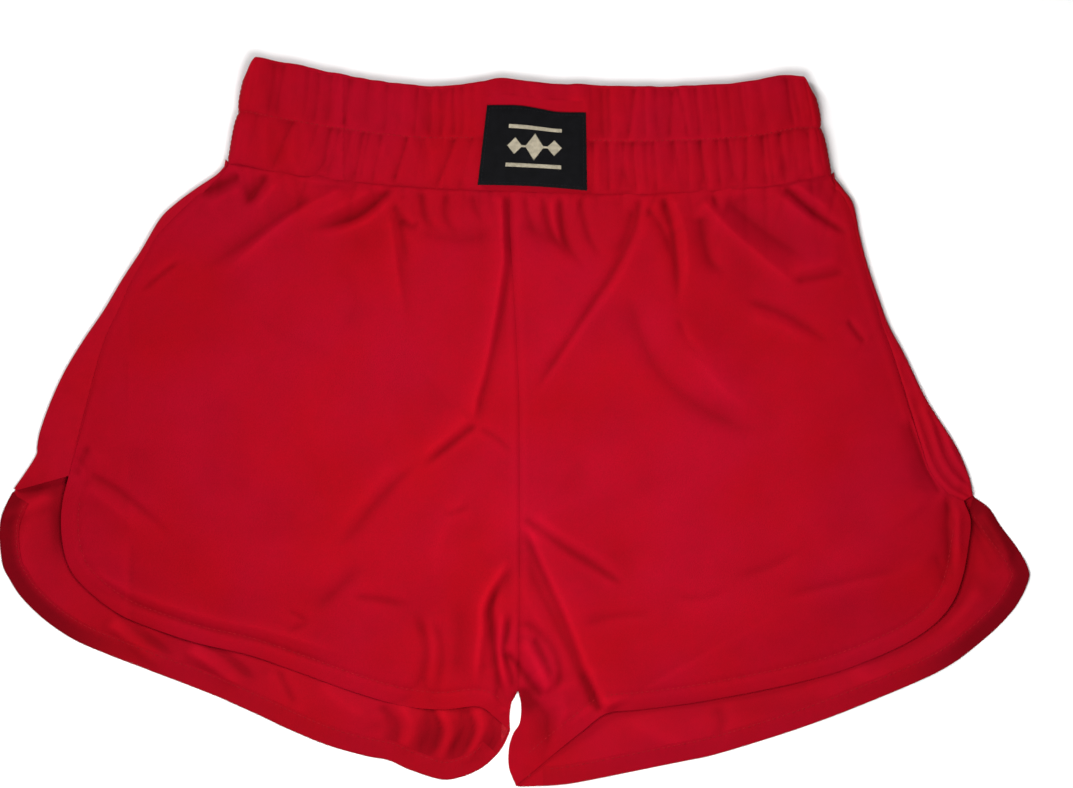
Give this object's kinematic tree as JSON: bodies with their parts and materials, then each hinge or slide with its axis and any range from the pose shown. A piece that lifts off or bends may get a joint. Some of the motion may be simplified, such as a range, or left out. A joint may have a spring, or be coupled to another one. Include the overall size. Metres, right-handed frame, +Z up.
{
  "type": "boxing shorts",
  "caption": "Short-legged woven boxing shorts laid flat, front up, with a two-channel elastic waistband and curved hems.",
  "frame": {"origin": "middle of the laid-out garment's bounding box, on the surface that the back lies on", "axes": "+X across the garment towards the wearer's left leg, +Y from the hems towards the waistband, +Z up, out of the front of the garment"},
  "size_m": [0.5752, 0.4074, 0.0156],
  "materials": {
    "red_cloth": "matte",
    "red_thread": "satin",
    "elastic_webbing": "matte",
    "black_label_weave": "matte",
    "beige_label_thread": "matte",
    "white_satin_tape": "satin"
  },
  "bodies": {
    "legs": {"front_panel_right_leg": "red_cloth", "back_panel_right_leg": "red_cloth", "front_hem_facing_right_leg": "red_cloth", "back_hem_facing_right_leg": "red_cloth", "front_hem_stitching_right_leg": "red_thread", "back_hem_stitching_right_leg": "red_thread", "side_seam_overlock_right_leg": "red_thread", "inseam_overlock_right_leg": "red_thread", "front_panel_left_leg": "red_cloth", "back_panel_left_leg": "red_cloth", "front_hem_facing_left_leg": "red_cloth", "back_hem_facing_left_leg": "red_cloth", "front_hem_stitching_left_leg": "red_thread", "back_hem_stitching_left_leg": "red_thread", "side_seam_overlock_left_leg": "red_thread", "inseam_overlock_left_leg": "red_thread", "front_rise_overlock": "red_thread", "back_rise_overlock": "red_thread", "front_waist_seam_overlock": "red_thread", "back_waist_seam_overlock": "red_thread", "care_label": "white_satin_tape"},
    "waistband": {"waistband_front_casing": "red_cloth", "waistband_back_casing": "red_cloth", "lower_elastic": "elastic_webbing", "upper_elastic": "elastic_webbing", "front_channel_stitching_right": "red_thread", "front_channel_stitching_left": "red_thread", "back_channel_stitching": "red_thread", "waistband_side_seam_right": "red_thread", "waistband_side_seam_left": "red_thread", "front_label": "black_label_weave", "label_stitching": "black_label_weave", "label_motif": "beige_label_thread"}
  },
  "joints": [
    {"name": "waist_fold", "type": "hinge", "parent": "legs", "child": "waistband", "pos_m": [0.00946, 0.12775, 0.0143], "axis": [1, 0, 0], "range_deg": [0, 150]}
  ]
}
